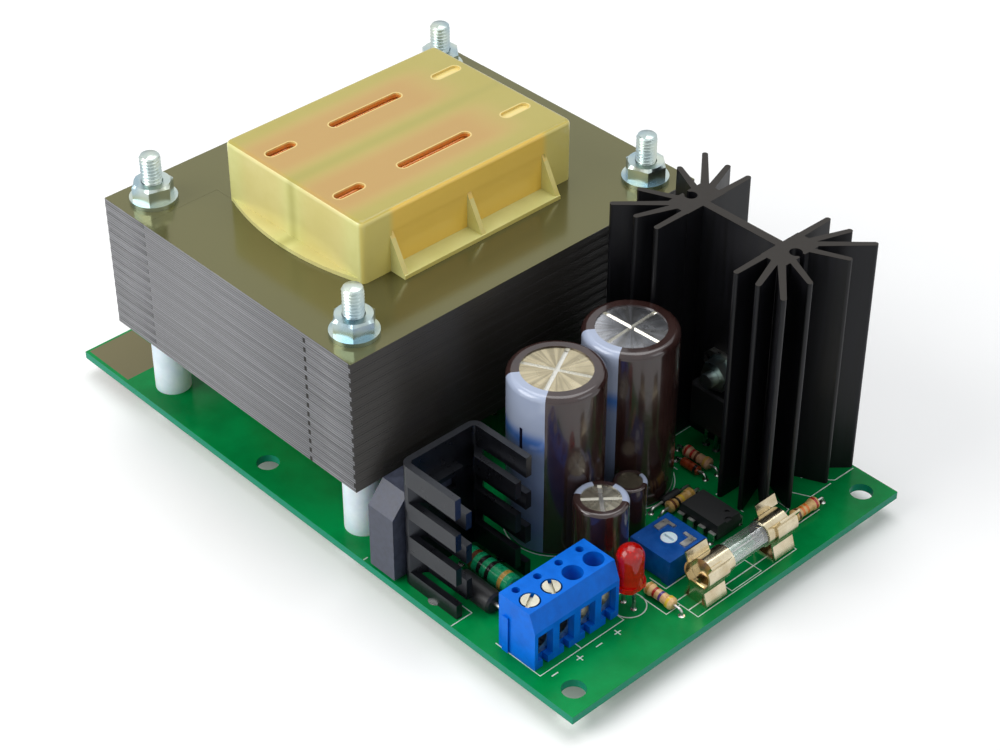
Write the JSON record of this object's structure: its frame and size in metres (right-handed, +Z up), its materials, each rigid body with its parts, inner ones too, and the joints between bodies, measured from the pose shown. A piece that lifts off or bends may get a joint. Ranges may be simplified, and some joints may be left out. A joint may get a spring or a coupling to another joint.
{
  "type": "ac-dc power supply board",
  "caption": "Open-frame linear ac-dc power supply: a laminated transformer, rectifier, smoothing capacitors, regulator on a finned heatsink and screw terminals on one green circuit board",
  "frame": {"origin": "middle of the circuit board's outline, at the undersides of the four transformer bolt heads on which it stands", "axes": "+X along the board towards the terminals and the fuse, +Y towards the tall heatsink, +Z up out of the component side"},
  "size_m": [0.138, 0.084, 0.0609],
  "materials": {
    "black_moulding": "matt moulded epoxy",
    "tinned": "tinned",
    "board": "green solder mask on glass-fibre board",
    "former": "moulded",
    "core_steel": "silicon steel sheet under clear varnish",
    "nickel": "nickel plated",
    "clip_brass": "bright",
    "glass": "clear",
    "orange_glass": "orange glass body",
    "red_lens": "tinted clear resin",
    "yellow_plastic": "slightly clear moulded nylon",
    "green_coat": "cement coat",
    "copper_wire": "enamelled copper wire",
    "dark_aluminium": "black anodised aluminium",
    "tan_coat": "lacquered resistor bodies",
    "plated_steel": "zinc plated",
    "blue_plastic": "moulded",
    "white_plastic": "moulded",
    "can_aluminium": "bare",
    "brown_sleeve": "shrunk sleeve"
  },
  "bodies": {
    "base": {"bridge_rectifier": "black_moulding", "bridge_rectifier_leads": "tinned", "capacitor_1_can": "can_aluminium", "capacitor_1_sleeve": "brown_sleeve", "capacitor_2_can": "can_aluminium", "capacitor_2_sleeve": "brown_sleeve", "capacitor_3_can": "can_aluminium", "capacitor_3_sleeve": "brown_sleeve", "capacitor_4_can": "can_aluminium", "capacitor_4_sleeve": "brown_sleeve", "capacitor_leads": "tinned", "circuit_board": "board", "coil_former": "former", "coil_pins": "tinned", "control_chip_body": "black_moulding", "control_chip_pins": "tinned", "core_e_laminations": "core_steel", "core_i_laminations": "core_steel", "fuse_caps": "nickel", "fuse_clips": "clip_brass", "fuse_glass": "glass", "fuse_wire": "tinned", "glass_diode": "orange_glass", "indicator_leads": "tinned", "indicator_lens": "red_lens", "lower_coil_cover": "yellow_plastic", "lying_part_leads": "tinned", "power_diode": "black_moulding", "power_resistor": "green_coat", "power_transistor_body": "black_moulding", "power_transistor_leads": "tinned", "power_transistor_tab": "tinned", "primary_winding": "copper_wire", "secondary_winding": "copper_wire", "small_diode": "black_moulding", "small_heatsink": "dark_aluminium", "small_resistors": "tan_coat", "tall_heatsink": "dark_aluminium", "tall_heatsink_pins": "tinned", "terminal_clamps": "nickel", "terminal_housing_1": "blue_plastic", "terminal_housing_2": "blue_plastic", "transformer_bolts": "plated_steel", "transformer_nuts": "plated_steel", "transformer_spacers": "white_plastic", "transformer_washers": "plated_steel", "transistor_nut": "plated_steel", "transistor_screw": "plated_steel", "transistor_washer": "plated_steel", "trimmer_body": "blue_plastic", "trimmer_contacts": "tinned", "trimmer_pins": "tinned", "upper_coil_cover": "yellow_plastic"},
    "rotor": {"trimmer_rotor": "white_plastic"},
    "screw_1": {"terminal_screw_1": "plated_steel"},
    "screw_2": {"terminal_screw_2": "plated_steel"},
    "screw_3": {"terminal_screw_3": "plated_steel"},
    "screw_4": {"terminal_screw_4": "plated_steel"}
  },
  "joints": [
    {"name": "trimmer_turn", "type": "hinge", "parent": "base", "child": "rotor", "pos_m": [0.05305, -0.0026, 0.0092], "axis": [0, 0, 1], "range_deg": [-130, 130]},
    {"name": "terminal_screw_1_travel", "type": "slide", "parent": "base", "child": "screw_1", "axis": [0, 0, 1], "range_m": [-0.0033, 0]},
    {"name": "terminal_screw_2_travel", "type": "slide", "parent": "base", "child": "screw_2", "axis": [0, 0, 1], "range_m": [-0.0033, 0]},
    {"name": "terminal_screw_3_travel", "type": "slide", "parent": "base", "child": "screw_3", "axis": [0, 0, 1], "range_m": [0, 0.0033]},
    {"name": "terminal_screw_4_travel", "type": "slide", "parent": "base", "child": "screw_4", "axis": [0, 0, 1], "range_m": [0, 0.0033]}
  ]
}
